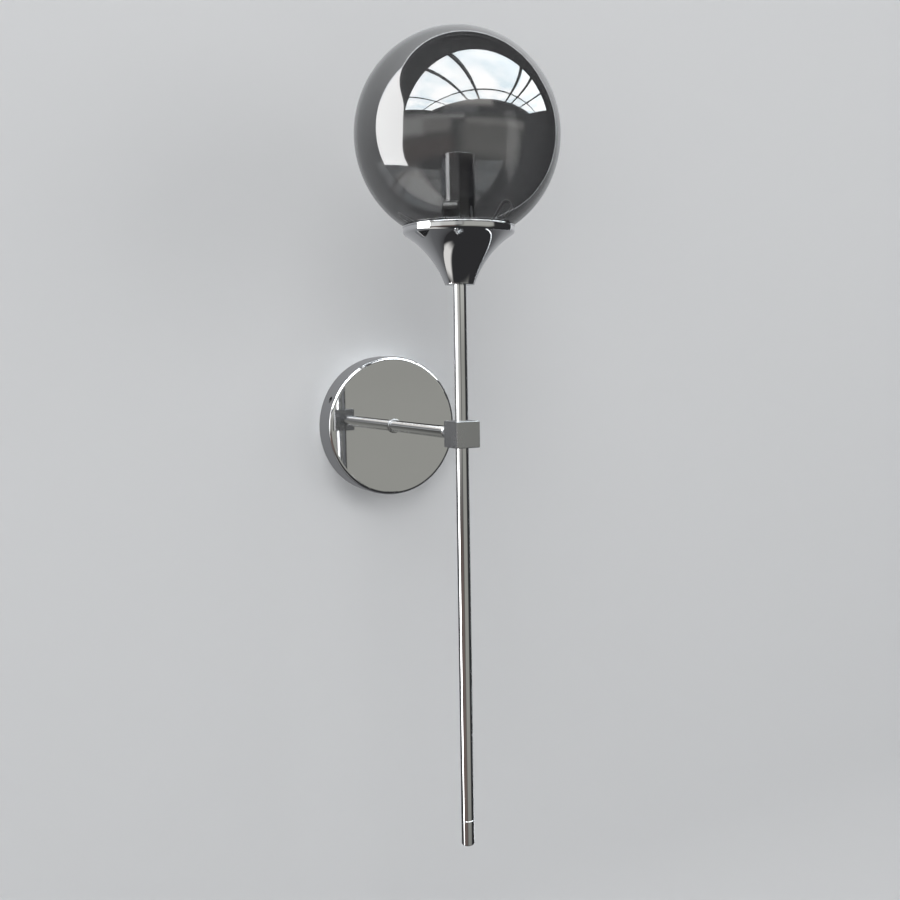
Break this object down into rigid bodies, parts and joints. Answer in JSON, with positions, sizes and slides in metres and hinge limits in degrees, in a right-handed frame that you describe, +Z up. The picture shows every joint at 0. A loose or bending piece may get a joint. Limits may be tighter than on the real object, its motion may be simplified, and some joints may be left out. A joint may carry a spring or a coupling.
{
  "type": "globe wall sconce",
  "caption": "Wall light: a smoked glass globe in a chrome trumpet cup on a slim upright with a long tail, carried by a short arm from a round wall canopy.",
  "frame": {"origin": "centre of the canopy's back, on the face of the wall", "axes": "+X to the right along the wall, +Y into the wall, +Z up along the upright"},
  "size_m": [0.15, 0.214, 0.6167],
  "materials": {
    "chrome": "polished chrome",
    "smoked_glass": "smoked, half-mirrored glass",
    "black_rubber": "matt black silicone rubber",
    "zinc_steel": "bright zinc-plated steel",
    "black_steel": "black oxide steel",
    "spring_steel": "bright spring steel",
    "ceramic": "glazed white ceramic",
    "brass": "plain brass",
    "white_plastic": "natural white nylon",
    "frosted_glass": "frosted lamp envelope",
    "lead_live": "brown insulation",
    "lead_neutral": "blue insulation",
    "lead_earth": "green and yellow insulation"
  },
  "bodies": {
    "frame": {"wall_bracket": "zinc_steel", "canopy": "chrome", "canopy_screws": "black_steel", "arm_collar": "chrome", "arm_tube": "chrome", "arm_washer": "zinc_steel", "wire_bush": "white_plastic", "tube_nuts": "zinc_steel", "cross_block": "chrome", "upper_tube": "chrome", "lower_tube": "chrome", "tail_cap": "chrome", "cup": "chrome", "clip_plate": "zinc_steel", "clip_rivets": "zinc_steel", "globe_gasket": "black_rubber", "sleeve": "chrome", "lampholder_strap": "zinc_steel", "lampholder": "ceramic", "lampholder_contacts": "brass", "lampholder_screws": "zinc_steel", "terminal_block": "white_plastic", "terminal_barrels": "brass", "terminal_screws": "zinc_steel", "earth_lug": "brass", "earth_screw": "zinc_steel", "earth_lead": "lead_earth", "live_lead": "lead_live", "neutral_lead": "lead_neutral", "spring_clip_front_left": "spring_steel", "spring_clip_front_right": "spring_steel", "spring_clip_rear_right": "spring_steel", "spring_clip_rear_left": "spring_steel"},
    "globe": {"globe": "smoked_glass"},
    "lamp": {"lamp_base": "ceramic", "lamp_capsule": "frosted_glass", "lamp_pins": "brass"}
  },
  "joints": [
    {"name": "globe_lift", "type": "slide", "parent": "frame", "child": "globe", "axis": [0, 0, 1], "range_m": [0, 0.06], "deforming": ["spring_clip_front_left", "spring_clip_front_right", "spring_clip_rear_right", "spring_clip_rear_left"]},
    {"name": "lamp_pull", "type": "slide", "parent": "frame", "child": "lamp", "axis": [0, 0, 1], "range_m": [0, 0.04]}
  ]
}
